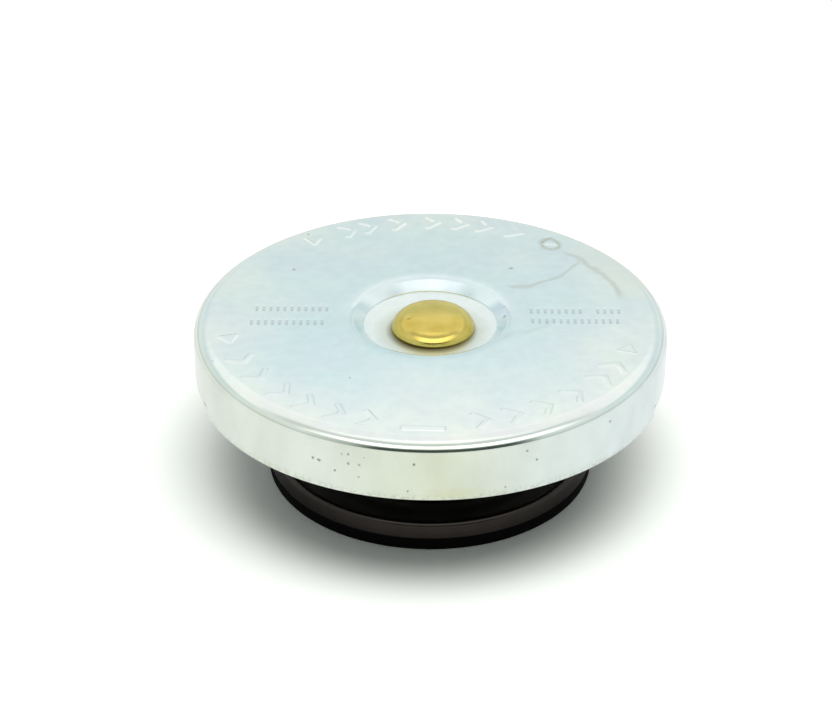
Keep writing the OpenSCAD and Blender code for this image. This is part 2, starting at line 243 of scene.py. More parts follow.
for radius in (PLATE_IN, PLATE_OUT):
    bmesh.ops.create_circle(
        stamped, segments=round(360 / STEP), radius=radius * MM, matrix=Matrix.Translation(top)
    )
rims = [edge for edge in stamped.edges if edge.is_wire or edge.is_boundary]
bmesh.ops.triangle_fill(stamped, use_beauty=True, edges=rims, normal=(0, 0, 1))

plain = [
    face for face in bm.faces
    if face.normal.z > 0.999 and face.calc_center_median().z > (TOP_Z - 0.01) * MM
    and PLATE_IN * MM < face.calc_center_median().xy.length < PLATE_OUT * MM
]
bmesh.ops.delete(bm, geom=plain, context="FACES")
stamped_mesh = bpy.data.meshes.new("stamped_plate")
stamped.to_mesh(stamped_mesh)
stamped.free()
bm.from_mesh(stamped_mesh)
bpy.data.meshes.remove(stamped_mesh)
close_seams(bm)

# Bright zinc plate with a clear passivate: a satin mirror, pale blue in the middle of the top, cream
# towards its edge and yellow-green down the front of the skirt. Water has left olive tide lines at the
# back right, and the plate has begun to pit in dark specks, most of all on the skirt's front left.
zinc, shader, links = new_material("bright_zinc_plate")
here = add(zinc, "TexCoord").outputs["Object"]
axes = add(zinc, "SeparateXYZ", {0: here})
level = add(zinc, "CombineXYZ", {0: axes.outputs["X"], 1: axes.outputs["Y"]})
from_axis = add(zinc, "VectorMath", {0: level.outputs[0]}, operation="LENGTH").outputs["Value"]
bearing = add(zinc, "Math", {0: axes.outputs["Y"], 1: axes.outputs["X"]}, operation="ARCTAN2").outputs[0]
patches = add(zinc, "TexNoise", {"Vector": here, "Scale": 1 / (13 * MM), "Detail": 3}).outputs[0]
wobble = add(zinc, "TexNoise", {"Vector": here, "Scale": 1 / (4.5 * MM), "Detail": 2}).outputs[0]
wander = add(zinc, "MapRange", {"Value": wobble, 1: 0.25, 2: 0.75, 3: -0.8 * MM, 4: 0.8 * MM}).outputs[0]

# The top's tint: bluest at the front left, paler towards the rim and lilac in patches, with a fine crystal
# bloom over all of it. The floor of the recess is painted nearly white: painted brightness that stands in
# for the brighter reflection of a floor dished towards the rivet.
rimward = add(zinc, "MapRange", {"Value": from_axis, 1: 14 * MM, 2: 31 * MM, 3: -0.4, 4: 0.2})
paleness = add(zinc, "Math", {0: patches, 1: 1.3, 2: rimward.outputs[0]}, operation="MULTIPLY_ADD")
from_blue = add(zinc, "VectorMath", {0: here, 1: Vector((-15, -12, TOP_Z)) * MM}, operation="DISTANCE")
blueness = add(zinc, "MapRange", {"Value": from_blue.outputs["Value"], 1: 15 * MM, 2: 4 * MM, 4: 0.5})
paleness = add(zinc, "Math", {0: paleness.outputs[0], 1: blueness.outputs[0]}, operation="SUBTRACT")
top_tint = add(
    zinc, "Mix", {0: paleness.outputs[0], 6: linear("#D7EAEC"), 7: linear("#EEF3EC")}, data_type="RGBA"
)
hue = add(zinc, "TexNoise", {"Vector": here, "Scale": 1 / (9 * MM), "Detail": 2}).outputs["Color"]
hue = add(zinc, "SeparateXYZ", {0: hue}).outputs["Y"]
hue = add(zinc, "MapRange", {"Value": hue, 1: 0.4, 2: 0.7, 4: 0.5})
top_tint = add(
    zinc, "Mix", {0: hue.outputs[0], 6: top_tint.outputs[2], 7: linear("#E0E6EE")}, data_type="RGBA"
)
in_recess = add(zinc, "MapRange", {"Value": from_axis, 1: 9.5 * MM, 2: 9.1 * MM}).outputs[0]
# Painted brightness on the recess floor, in place of a brighter reflection.
floor_painted_brightness = add(zinc, "Math", {0: in_recess, 1: 0.7}, operation="MULTIPLY")
top_tint = add(
    zinc, "Mix", {0: floor_painted_brightness.outputs[0], 6: top_tint.outputs[2], 7: linear("#F4F8F4")}, data_type="RGBA"
)
bloom = add(zinc, "TexNoise", {"Vector": here, "Scale": 1 / (1.6 * MM), "Detail": 4})
bloom = add(zinc, "MapRange", {"Value": bloom.outputs[0], 1: 0.3, 2: 0.7, 3: 0.96, 4: 1.01})
top_colour = add(
    zinc, "VectorMath", {0: top_tint.outputs[2], "Scale": bloom.outputs[0]}, operation="SCALE"
)

# The skirt's tint: yellow-green at the front, bluer to the right, in soft clouds drawn down the side.
sideways = add(zinc, "MapRange", {"Value": axes.outputs["X"], 1: -33 * MM, 2: 33 * MM})
skirt_tint = add(zinc, "ValToRGB", {0: sideways.outputs[0]})
skirt_stops = skirt_tint.color_ramp.elements
skirt_stops[0].color, skirt_stops[1].color = linear("#E6EDE2"), linear("#E2EEEE")
for position, shade in ((0.3, "#E4ECE0"), (0.52, "#DFE6D0"), (0.72, "#E2ECE6")):
    skirt_stops.new(position).color = linear(shade)
drawn = add(zinc, "Mapping", {"Vector": here, "Scale": (1 / (5 * MM), 1 / (5 * MM), 1 / (8 * MM))})
clouds = add(zinc, "TexNoise", {"Vector": drawn.outputs[0], "Scale": 1, "Detail": 4})
cloud_level = add(zinc, "MapRange", {"Value": clouds.outputs[0], 1: 0.3, 2: 0.7, 3: 0.88, 4: 1})
skirt_colour = add(
    zinc, "VectorMath", {0: skirt_tint.outputs[0], "Scale": cloud_level.outputs[0]}, operation="SCALE"
)
on_top = add(zinc, "MapRange", {"Value": from_axis, 1: 32.9 * MM, 2: 31.8 * MM})
colour = add(
    zinc, "Mix", {0: on_top.outputs[0], 6: skirt_colour.outputs[0], 7: top_colour.outputs[0]},
    data_type="RGBA",
).outputs[2]

# Tide lines: one dips round a dried drop beside the recess, one follows the rim at the right with a
# cream film beyond it, one rings a small spot at the back, and a faint one runs out from the recess.
from_drop = add(zinc, "Math", {0: axes.outputs["X"], 1: 12.2 * MM}, operation="SUBTRACT").outputs[0]
dip = add(zinc, "Math", {0: from_drop, 1: from_drop}, operation="MULTIPLY").outputs[0]
dip = add(zinc, "Math", {0: dip, 1: 0.085 / MM, 2: 8.4 * MM}, operation="MULTIPLY_ADD").outputs[0]
drop_edge = add(zinc, "Math", {0: axes.outputs["Y"], 1: dip}, operation="SUBTRACT").outputs[0]
rim_edge = add(zinc, "Math", {0: from_axis, 1: 27.6 * MM}, operation="SUBTRACT").outputs[0]
from_spot = add(zinc, "VectorMath", {0: here, 1: Vector((17.8, 21.2, TOP_Z)) * MM}, operation="DISTANCE")
spot_edge = add(zinc, "Math", {0: from_spot.outputs["Value"], 1: 1.4 * MM}, operation="SUBTRACT").outputs[0]
across = add(zinc, "VectorMath", {0: here, 1: (-0.527, 0.85, 0)}, operation="DOT_PRODUCT").outputs["Value"]
run_edge = add(zinc, "Math", {0: across, 1: 10.7 * MM}, operation="ADD").outputs[0]
stain = None
for edge, place, begins, ends, strength in (
    (drop_edge, axes.outputs["X"], 10.4 * MM, 22.4 * MM, 0.42), (rim_edge, bearing, 0.16, 0.8, 0.42),
    (spot_edge, bearing, 0.6, 1.2, 0.6), (run_edge, axes.outputs["X"], 9.4 * MM, 17.6 * MM, 0.16),
):
    edge = add(zinc, "Math", {0: edge, 1: wander}, operation="ADD").outputs[0]
    off = add(zinc, "Math", {0: edge}, operation="ABSOLUTE").outputs[0]
    line = add(zinc, "MapRange", {"Value": off, 1: 0.75 * MM, 2: 0, 4: strength}).outputs[0]
    soft = (ends - begins) * 0.12
    for limit, inside in ((begins, begins + soft), (ends, ends - soft)):
        kept = add(zinc, "MapRange", {"Value": place, 1: limit, 2: inside}).outputs[0]
        line = add(zinc, "Math", {0: line, 1: kept}, operation="MULTIPLY").outputs[0]
    stain = add(zinc, "Math", {0: stain, 1: line}, operation="MAXIMUM").outputs[0] if stain else line
stain = add(zinc, "Math", {0: stain, 1: on_top.outputs[0]}, operation="MULTIPLY").outputs[0]
film = add(zinc, "MapRange", {"Value": rim_edge, 1: -0.4 * MM, 2: 0.6 * MM, 4: 0.4}).outputs[0]
for limit, inside in ((0.12, 0.3), (0.85, 0.7)):
    kept = add(zinc, "MapRange", {"Value": bearing, 1: limit, 2: inside}).outputs[0]
    film = add(zinc, "Math", {0: film, 1: kept}, operation="MULTIPLY").outputs[0]
film = add(zinc, "Math", {0: film, 1: on_top.outputs[0]}, operation="MULTIPLY").outputs[0]
colour = add(zinc, "Mix", {0: film, 6: colour, 7: linear("#EEEBDC")}, data_type="RGBA").outputs[2]
colour = add(zinc, "Mix", {0: stain, 6: colour, 7: linear("#A9AC98")}, data_type="RGBA").outputs[2]

# The bottom edge of the skirt is scuffed and grimy, with a yellow run at the front.
low = add(zinc, "MapRange", {"Value": axes.outputs["Z"], 1: 16 * MM, 2: 15.1 * MM, 4: 0.4}).outputs[0]
grain = add(zinc, "TexNoise", {"Vector": here, "Scale": 1 / (0.45 * MM), "Detail": 3}).outputs[0]
grain = add(zinc, "MapRange", {"Value": grain, 1: 0.42, 2: 0.62}).outputs[0]
scuffed = add(zinc, "Math", {0: low, 1: grain}, operation="MULTIPLY").outputs[0]
outside = add(zinc, "MapRange", {"Value": from_axis, 1: 32.2 * MM, 2: 32.7 * MM}).outputs[0]
scuffed = add(zinc, "Math", {0: scuffed, 1: outside}, operation="MULTIPLY").outputs[0]
colour = add(zinc, "Mix", {0: scuffed, 6: colour, 7: linear("#A9AC98")}, data_type="RGBA").outputs[2]
RUN_AT = Vector((3.5, -32.8, 15.9)) * MM
RUN_WIDE, RUN_TALL = 5 * MM, 1.1 * MM
run = add(zinc, "VectorMath", {0: here, 1: RUN_AT}, operation="SUBTRACT").outputs[0]
run = add(zinc, "VectorMath", {0: run, 1: (RUN_WIDE, RUN_WIDE, RUN_TALL)}, operation="DIVIDE").outputs[0]
run = add(zinc, "VectorMath", {0: run}, operation="LENGTH").outputs["Value"]
run = add(zinc, "MapRange", {"Value": run, 1: 1, 2: 0.2, 4: 0.4}).outputs[0]
colour = add(zinc, "Mix", {0: run, 6: colour, 7: linear("#D3D3A6")}, data_type="RGBA").outputs[2]

# Painted shadow at the foot of the rivet's head, on its front side: a dark olive patch on the recess floor,
# with a thin olive painted shade fading round it.
from_foot_shadow = add(zinc, "VectorMath", {0: level.outputs[0], 1: Vector((0.2, -1.7, 0)) * MM}, operation="DISTANCE")
# A thin olive painted shade fades out round the painted shadow.
painted_shadow_fade = add(zinc, "MapRange", {"Value": from_foot_shadow.outputs["Value"], 1: 8.4 * MM, 2: 5.4 * MM, 4: 0.5}).outputs[0]
colour = add(zinc, "Mix", {0: painted_shadow_fade, 6: colour, 7: linear("#A9AA74")}, data_type="RGBA").outputs[2]
# The dark patch is painted shadow, standing in for the shade under the overhang of the rivet's head.
painted_foot_shadow = add(zinc, "MapRange", {"Value": from_foot_shadow.outputs["Value"], 1: 6.5 * MM, 2: 4.9 * MM}).outputs[0]
colour = add(zinc, "Mix", {0: painted_foot_shadow, 6: colour, 7: linear("#3A381E")}, data_type="RGBA").outputs[2]

# The stamped bars are painted a darker grey-green.
sunken = add(
    zinc, "MapRange", {"Value": axes.outputs["Z"], 1: (TOP_Z - 0.02) * MM, 2: (TOP_Z - 0.09) * MM, 4: 0.3}
).outputs[0]
for limit, inside in ((PLATE_IN, PLATE_IN + 0.2), (PLATE_OUT, PLATE_OUT - 0.2)):
    kept = add(zinc, "MapRange", {"Value": from_axis, 1: limit * MM, 2: inside * MM}).outputs[0]
    sunken = add(zinc, "Math", {0: sunken, 1: kept}, operation="MULTIPLY").outputs[0]
colour = add(zinc, "Mix", {0: sunken, 6: colour, 7: linear("#7C8682")}, data_type="RGBA").outputs[2]

# Pits and specks, each (x, y, z, radius) in mm, with ragged edges.
PITS = (
    (-15, -29.4, 19, 0.22), (-14.2, -29.8, 18.9, 0.25), (-12.2, -30.7, 17.9, 0.2),
    (-10.4, -31.3, 19.4, 0.22), (-9, -31.8, 19.4, 0.22), (-11.2, -31, 20.6, 0.16),
    (-10.3, -31.3, 20.8, 0.16), (-8.3, -31.9, 20.7, 0.14), (-9.1, -31.7, 17.6, 0.15),
    (-2, -32.9, 20.3, 0.2), (-2.8, -32.9, 16.2, 0.16), (12.4, -30.6, 20.9, 0.18), (13.7, -30, 19.3, 0.18),
    (23.5, -23.2, 20.7, 0.2), (9.7, -31.6, 16, 0.14), (-19.8, 13.2, TOP_Z, 0.3), (11.7, 13.8, TOP_Z, 0.34),
    (-29.3, -12.5, TOP_Z, 0.22), (-10.6, -17, TOP_Z, 0.16), (10.5, 2.8, 23.1, 0.26),
    (10.3, 0.5, 23, 0.3), (-18.3, 24.4, TOP_Z, 0.24),
)
ragged = add(zinc, "TexNoise", {"Vector": here, "Scale": 1 / (0.35 * MM), "Detail": 2})
ragged = add(zinc, "VectorMath", {0: ragged.outputs["Color"], 1: (0.5, 0.5, 0.5)}, operation="SUBTRACT")
ragged = add(zinc, "VectorMath", {0: ragged.outputs[0], "Scale": 0.5 * MM}, operation="SCALE")
ragged = add(zinc, "VectorMath", {0: here, 1: ragged.outputs[0]}, operation="ADD")
pitted = None
for x, y, z, size in PITS:
    away = add(zinc, "VectorMath", {0: ragged.outputs[0], 1: Vector((x, y, z)) * MM}, operation="DISTANCE")
    depth = 0.5 if z > 22 else 0.75
    pit = add(
        zinc, "MapRange", {"Value": away.outputs["Value"], 1: size * 1.3 * MM, 2: size * 0.3 * MM, 4: depth}
    ).outputs[0]
    pitted = add(zinc, "Math", {0: pitted, 1: pit}, operation="MAXIMUM").outputs[0] if pitted else pit
colour = add(zinc, "Mix", {0: pitted, 6: colour, 7: linear("#3A4540")}, data_type="RGBA").outputs[2]
links.new(colour, shader.inputs["Base Color"])

# The satin is finest on the top and skirt, and duller in the recess, wherever the plate is stained or
# pitted, and under the painted shadow at the rivet's foot.
satin = add(zinc, "MapRange", {"Value": wobble, 1: 0.3, 2: 0.7, 3: 0.1, 4: 0.14}).outputs[0]
satin = add(zinc, "Math", {0: in_recess, 1: 0.16, 2: satin}, operation="MULTIPLY_ADD").outputs[0]
dulled = add(zinc, "Math", {0: stain, 1: pitted}, operation="MAXIMUM").outputs[0]
dulled = add(zinc, "Math", {0: dulled, 1: painted_foot_shadow}, operation="MAXIMUM").outputs[0]
satin = add(zinc, "Math", {0: dulled, 1: 0.3, 2: satin}, operation="MULTIPLY_ADD").outputs[0]
links.new(satin, shader.inputs["Roughness"])
shader.inputs["Metallic"].default_value = 1

shell = make_piece("cap_shell_pressing", bm, zinc)
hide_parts("cap_shell")
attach(shell, "cover")

# Centre rivet: turned brass with a low domed head, set a little off the axis. Its shoulder carries the
# shell, and its tail is clenched over the washer inside the guide cup.
bm = bmesh.new()
spin_profile(
    bm,
    [
        (0, 24.25, 0), (2, 24.25, 20), (4.92, 23.88, 2.3), (5.66, 22.56, 0.4), (5.8, 22.2, 0.3),
        (5.9, 21.9, 0), (3, 21.9, 0), (3, 20.7, 0), (2.3, 20.7, 0), (2.3, 18.6, 0), (4.2, 18.6, 0),
        (4.2, 17.6, 0.6), (0, 17.6, 0),
    ],
    steps=120,
)
close_seams(bm)
OFF_AXIS = Vector((0.4, -0.6, 0)) * MM
head = [v for v in bm.verts if v.co.z > 21.89 * MM and (v.co.xy.length > 3.2 * MM or v.co.z > 22 * MM)]
bmesh.ops.translate(bm, verts=head, vec=OFF_AXIS)
break_edges(bm, 0.06)

# Polished brass: a warm gold mirror that has dulled in small uneven patches, with a few dark specks of
# tarnish on the head, each (x, y, radius) in mm.
brass, shader, links = new_material("polished_brass")
here = add(brass, "TexCoord").outputs["Object"]
patches = add(brass, "TexNoise", {"Vector": here, "Scale": 1 / (2.5 * MM), "Detail": 5})
uneven = add(brass, "MapRange", {"Value": patches.outputs[0], 1: 0.3, 2: 0.7})
colour = add(
    brass, "Mix", {0: uneven.outputs[0], 6: linear("#DDC971"), 7: linear("#CDB659")}, data_type="RGBA"
).outputs[2]
TARNISH = ((-3, -2.1, 0.16), (-3.6, -3, 0.12), (-2.6, -1.9, 0.1), (3.9, -3.2, 0.12))
for x, y, size in TARNISH:
    away = add(brass, "VectorMath", {0: here, 1: Vector((x, y, 24.15)) * MM}, operation="DISTANCE")
    speck = add(brass, "MapRange", {"Value": away.outputs["Value"], 1: size * 2 * MM, 2: size * MM, 4: 0.5})
    colour = add(
        brass, "Mix", {0: speck.outputs[0], 6: colour, 7: linear("#6E6020")}, data_type="RGBA"
    ).outputs[2]
links.new(colour, shader.inputs["Base Color"])
shader.inputs["Metallic"].default_value = 1
shader.inputs["Roughness"].default_value = 0.13

rivet = make_piece("rivet_turning", bm, brass)
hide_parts("centre_rivet")
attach(rivet, "core")

# Rivet washer, spring seat and guide cup: the steel stack that the rivet clenches under the shell. The
# seat takes the pressure spring's thrust, and the cup's out-turned rim carries the hanging valve.

# Dull zinc plate: an even grey metal with a soft, wide sheen, a little patchy from the plating bath.
dull_zinc, shader, links = new_material("dull_zinc_plate")
here = add(dull_zinc, "TexCoord").outputs["Object"]
patches = add(dull_zinc, "TexNoise", {"Vector": here, "Scale": 1 / (6 * MM), "Detail": 3})
colour = add(
    dull_zinc, "Mix", {0: patches.outputs[0], 6: linear("#B9BDB9"), 7: linear("#A3A8A3")}, data_type="RGBA"
)
links.new(colour.outputs[2], shader.inputs["Base Color"])
shader.inputs["Metallic"].default_value = 1
shader.inputs["Roughness"].default_value = 0.42

bm = bmesh.new()
spin_profile(
    bm, [(2.35, 18.6, 0.1), (5.3, 18.6, 0.1), (5.3, 19.2, 0.1), (2.35, 19.2, 0.1)], closed=True, steps=120
)
close_seams(bm)
washer = make_piece("rivet_washer_ring", bm, dull_zinc)
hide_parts("rivet_washer")

bm = bmesh.new()
spin_profile(bm, [(2.35, 20.7, 0), (17.915, 20.7, 1.2), (17.915, 18.9, 0)])
give_wall(bm, 0.8)
break_edges(bm, 0.1)
seat = make_piece("spring_seat_pressing", bm, dull_zinc)
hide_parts("spring_seat")

bm = bmesh.new()
spin_profile(bm, [(2.35, 19.9, 0), (10.8, 19.9, 1.4), (10.8, 12, 0.7), (13, 12, 0)])
give_wall(bm, 0.7)
break_edges(bm, 0.1)
cup = make_piece("guide_cup_pressing", bm, dull_zinc)
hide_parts("guide_cup")
for piece in (washer, seat, cup):
    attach(piece, "core")

# Friction spring: a thin dished disc of hardened strip that presses the upper seal on the filler neck
# and holds its edge with a turned-down lip.
bm = bmesh.new()
spin_profile(
    bm,
    [(3.08, 21.1, 0), (18.215, 21.1, 4), (22.8, 20.95, 4), (30.2, 20.95, 0.6), (30.2, 19.75, 0)],
    steps=200,
)
give_wall(bm, 0.4)
break_edges(bm, 0.06)

# Hardened strip: darker, brighter-polished grey with fine straight rolling lines across the disc.
spring_strip, shader, links = new_material("hardened_spring_strip")
here = add(spring_strip, "TexCoord").outputs["Object"]
LINE_WIDE, LINE_LONG = 0.3 * MM, 9 * MM
rolled = add(
    spring_strip, "Mapping", {"Vector": here, "Scale": (1 / LINE_WIDE, 1 / LINE_LONG, 1 / LINE_LONG)}
)
lines = add(spring_strip, "TexNoise", {"Vector": rolled.outputs[0], "Scale": 1, "Detail": 2})
colour = add(
    spring_strip, "Mix", {0: lines.outputs[0], 6: linear("#A9ADAB"), 7: linear("#8E9290")}, data_type="RGBA"
)
links.new(colour.outputs[2], shader.inputs["Base Color"])
shader.inputs["Metallic"].default_value = 1
shader.inputs["Roughness"].default_value = 0.3

disc = make_piece("friction_spring_disc", bm, spring_strip)
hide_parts("friction_spring")
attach(disc, "core")

# Upper seal: a flat moulded ring of black rubber that closes on the top of the filler neck. It sits
# under the friction spring, held by its lip.
bm = bmesh.new()
spin_profile(
    bm,
    [(23.1, 19.05, 0.3), (29.65, 19.05, 0.3), (29.65, 20.55, 0.3), (23.1, 20.55, 0.3)],
    closed=True, steps=200,
)
close_seams(bm)

# Moulded black rubber: soft, almost without shine, and mottled between two near-blacks by its bloom.
rubber, shader, links = new_material("moulded_black_rubber")
here = add(rubber, "TexCoord").outputs["Object"]
bloom = add(rubber, "TexNoise", {"Vector": here, "Scale": 1 / (5 * MM), "Detail": 4})
colour = add(
    rubber, "Mix", {0: bloom.outputs[0], 6: linear("#030303"), 7: linear("#0A0A09")}, data_type="RGBA"
)
links.new(colour.outputs[2], shader.inputs["Base Color"])
shader.inputs["Roughness"].default_value = 0.7
shader.inputs["Specular IOR Level"].default_value = 0.05

upper_ring = make_piece("upper_seal_ring", bm, rubber)
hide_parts("upper_seal")
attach(upper_ring, "core")

# Pressure spring: 1.6 mm plated spring wire, wound right-handed with closed ends that are ground flat
# on the spring seat above and the valve plate below.


def wind_spring(coil_r, wire, low, high, turns, sides, steps):
    """Coil of round wire with one closed turn at each end, ground flat on both seats."""
    closed_pitch = wire * 1.04
    open_pitch = (high - low - wire / 2 - 2 * closed_pitch) / (turns - 2)
    bm = bmesh.new()
    start = Matrix.Translation(Vector((coil_r, 0, low + wire / 4)) * MM)
    upright = Matrix.Rotation(math.pi / 2, 4, "X")
    bmesh.ops.create_circle(
        bm, cap_ends=True, segments=sides, radius=wire / 2 * MM, matrix=start @ upright
    )
    end = bm.faces[:] + bm.edges[:] + bm.verts[:]
    for part_turns, pitch in ((1, closed_pitch), (turns - 2, open_pitch), (1, closed_pitch)):
        end = bmesh.ops.spin(
            bm, geom=end, cent=(0, 0, 0), axis=(0, 0, 1), dvec=(0, 0, pitch / steps * MM),
            angle=2 * math.pi * part_turns, steps=round(part_turns * steps),
        )["geom_last"]
    for vert in bm.verts:
        vert.co.z = min(max(vert.co.z, low * MM), high * MM)
    bmesh.ops.recalc_face_normals(bm, faces=bm.faces[:])
    return bm


SPRING_LOW, SPRING_HIGH = 4.2, 19.9
bm = wind_spring(16.015, 1.6, SPRING_LOW, SPRING_HIGH, 6, sides=16, steps=48)

# Plated spring wire: mid grey and fairly bright, with the faint unevenness of drawn wire.
spring_wire, shader, links = new_material("plated_spring_wire")
here = add(spring_wire, "TexCoord").outputs["Object"]
drawn = add(spring_wire, "TexNoise", {"Vector": here, "Scale": 1 / (1.2 * MM), "Detail": 3})
colour = add(
    spring_wire, "Mix", {0: drawn.outputs[0], 6: linear("#A7ABA8"), 7: linear("#868A88")}, data_type="RGBA"
)
links.new(colour.outputs[2], shader.inputs["Base Color"])
shader.inputs["Metallic"].default_value = 1
shader.inputs["Roughness"].default_value = 0.34

coil = make_piece("pressure_spring_coil", bm, spring_wire)
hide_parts("pressure_spring")
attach(coil, "core")
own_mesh(coil)

# Valve plate: a shallow pan of dark plated steel, turned down round the pressure seal, with a raised
# boss in the middle that clears the vacuum valve.
bm = bmesh.new()
spin_profile(
    bm,
    [(3.45, 7.2, 0), (9.2, 7.2, 1.2), (9.7, 4.2, 0.8), (22.8, 4.2, 0.8), (23.25, 1.85, 0)],
    steps=200,
)
give_wall(bm, 0.8)
break_edges(bm, 0.1)

# Dark dull plate: a brown-black metal that shows only a thin grey highlight along its edges.
dark_steel, shader, links = new_material("dark_dull_plate")
here = add(dark_steel, "TexCoord").outputs["Object"]
mottle = add(dark_steel, "TexNoise", {"Vector": here, "Scale": 1 / (3 * MM), "Detail": 4})
colour = add(
    dark_steel, "Mix", {0: mottle.outputs[0], 6: linear("#3C3834"), 7: linear("#2F2C2A")}, data_type="RGBA"
)
links.new(colour.outputs[2], shader.inputs["Base Color"])
shader.inputs["Metallic"].default_value = 1
shader.inputs["Roughness"].default_value = 0.26

pan = make_piece("valve_plate_pan", bm, dark_steel)
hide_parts("valve_plate")
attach(pan, "pressure_valve")

# Valve hanger: a four-armed spider blanked from steel sheet and bent up, riveted on the valve plate.
# Its hooks hang over the guide cup's rim and let the valve lift.
ARM_HALF = 2.5
HUB_Z, HOOK_Z = 7.2, 12.9
ARM_R, HOOK_R = 14.4, 11.4
BEND = 1.2
bm = bmesh.new()
cross = []
for k in range(4):
    turn = Matrix.Rotation(math.pi / 2 * k, 3, "Z")
    for x, y in ((ARM_R - BEND, -ARM_HALF), (ARM_R - BEND, ARM_HALF), (ARM_HALF, ARM_HALF)):
        cross.append(bm.verts.new(turn @ Vector((x, y, HUB_Z)) * MM))
for side in zip(cross, cross[1:] + cross[:1]):
    bm.edges.new(side)
arm_ends = [bm.edges.get((cross[3 * k], cross[3 * k + 1])) for k in range(4)]
for corner in cross[2::3]:
    bmesh.ops.bevel(
        bm, geom=[corner], offset=6.2 * MM, offset_type="OFFSET", segments=10, profile=0.5,
        affect="VERTICES", material=-1,
    )
bmesh.ops.create_circle(
    bm, segments=64, radius=3.45 * MM, matrix=Matrix.Translation(Vector((0, 0, HUB_Z * MM)))
)
bmesh.ops.triangle_fill(bm, use_beauty=True, edges=bm.edges[:], normal=(0, 0, 1))
for k, end in enumerate(arm_ends):
    turn = Matrix.Rotation(math.pi / 2 * k, 3, "Z")
    hinge = turn @ Vector((0, -1, 0))
    geom = [end, *end.verts]
    for centre_z, rise in ((HUB_Z + BEND, HOOK_Z - HUB_Z - 2 * BEND), (HOOK_Z - BEND, 0)):
        centre = turn @ Vector((ARM_R - BEND, 0, centre_z)) * MM
        geom = bmesh.ops.spin(
            bm, geom=geom, cent=centre, axis=hinge, angle=math.pi / 2, steps=6
        )["geom_last"]
        if rise:
            edges = [part for part in geom if isinstance(part, bmesh.types.BMEdge)]
            geom = bmesh.ops.extrude_edge_only(bm, edges=edges)["geom"]
            moved = [part for part in geom if isinstance(part, bmesh.types.BMVert)]
            bmesh.ops.translate(bm, verts=moved, vec=(0, 0, rise * MM))
            geom = [part for part in geom if not isinstance(part, bmesh.types.BMFace)]
    edges = [part for part in geom if isinstance(part, bmesh.types.BMEdge)]
    tip = bmesh.ops.extrude_edge_only(bm, edges=edges)["geom"]
    moved = [part for part in tip if isinstance(part, bmesh.types.BMVert)]
    bmesh.ops.translate(bm, verts=moved, vec=turn @ Vector((HOOK_R - ARM_R + BEND, 0, 0)) * MM)
give_wall(bm, 0.8, looks_up=False)
break_edges(bm, 0.1)
hanger = make_piece("valve_hanger_spider", bm, dull_zinc)
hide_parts("valve_hanger")
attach(hanger, "pressure_valve")

# Pressure seal: a stepped ring of black rubber, moulded with a thick lip that closes on the ledge in
# the filler neck. The valve plate and the retainer clamp it.
bm = bmesh.new()
spin_profile(
    bm,
    [
        (8.9, 1.65, 0.1), (17.3, 1.65, 0), (17.3, 0, 0.25), (23.2, 0, 0.2), (23.2, 1.85, 0.1),
        (21.9, 1.85, 0), (21.9, 3.4, 0.25), (8.9, 3.4, 0.1),
    ],
    closed=True, steps=200,
)
close_seams(bm)
lower_ring = make_piece("pressure_seal_ring", bm, rubber)
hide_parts("pressure_seal")
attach(lower_ring, "pressure_valve")

# Seal retainer: a pressed saucer of zinc-plated steel that holds the seal up against the valve plate.
# The eyelet clamps it at its bore.
bm = bmesh.new()
spin_profile(bm, [(3.45, 6.4, 0), (8.1, 6.4, 1.05), (8.6, 1.65, 0.7), (17, 1.65, 0)])
give_wall(bm, 0.7)
break_edges(bm, 0.1)
retainer = make_piece("seal_retainer_saucer", bm, dull_zinc)
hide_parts("seal_retainer")
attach(retainer, "pressure_valve")

# Seat eyelet: a tubular brass rivet, rolled over at both ends. It holds the valve together, and its
# lower flange is the seat of the vacuum valve.
bm = bmesh.new()
spin_profile(
    bm,
    [
        (2.6, 5.1, 0.5), (4.9, 5.1, 0.25), (4.9, 5.7, 0.15), (3.4, 5.7, 0), (3.4, 8, 0), (4.9, 8, 0.15),
        (4.9, 8.6, 0.25), (2.6, 8.6, 0.5),
    ],
    closed=True, steps=120,
)
close_seams(bm)
eyelet = make_piece("seat_eyelet_rivet", bm, brass)
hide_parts("seat_eyelet")
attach(eyelet, "pressure_valve")

# Vacuum valve: a brass saucer with a rubber washer, on a headed brass stem with a cup washer at its
# top end. It lets air back in when the engine cools.
bm = bmesh.new()
spin_profile(bm, [(6.8, 4.6, 0), (6.8, 3.5, 0.9), (1.25, 3.5, 0)], steps=160)
give_wall(bm, 0.6, looks_up=False)
break_edges(bm, 0.08)
saucer = make_piece("vacuum_disc_saucer", bm, brass)
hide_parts("vacuum_disc")

bm = bmesh.new()
spin_profile(
    bm,
    [
        (0, 3, 0), (2.2, 3, 0.3), (2.2, 3.5, 0), (1.2, 3.5, 0), (1.2, 12.7, 0), (2.2, 12.7, 0),
        (2.2, 13.2, 0.3), (0, 13.2, 0),
    ],
    steps=96,
)
close_seams(bm)
stem = make_piece("vacuum_stem_pin", bm, brass)
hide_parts("vacuum_stem")

bm = bmesh.new()
spin_profile(bm, [(1.25, 12.7, 0), (4.325, 12.7, 0.7), (4.325, 11.7, 0)], steps=120)
give_wall(bm, 0.5)
break_edges(bm, 0.06)
keeper = make_piece("spring_keeper_cup", bm, brass)
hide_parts("spring_keeper")
for piece in (saucer, stem, keeper):
    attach(piece, "vacuum_valve")

bm = bmesh.new()
spin_profile(
    bm, [(1.25, 4.1, 0.1), (5.9, 4.1, 0.15), (5.9, 5.1, 0.15), (1.25, 5.1, 0.1)], closed=True, steps=120
)
close_seams(bm)
vacuum_washer = make_piece("vacuum_seal_washer", bm, rubber)
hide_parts("vacuum_seal")
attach(vacuum_washer, "vacuum_valve")

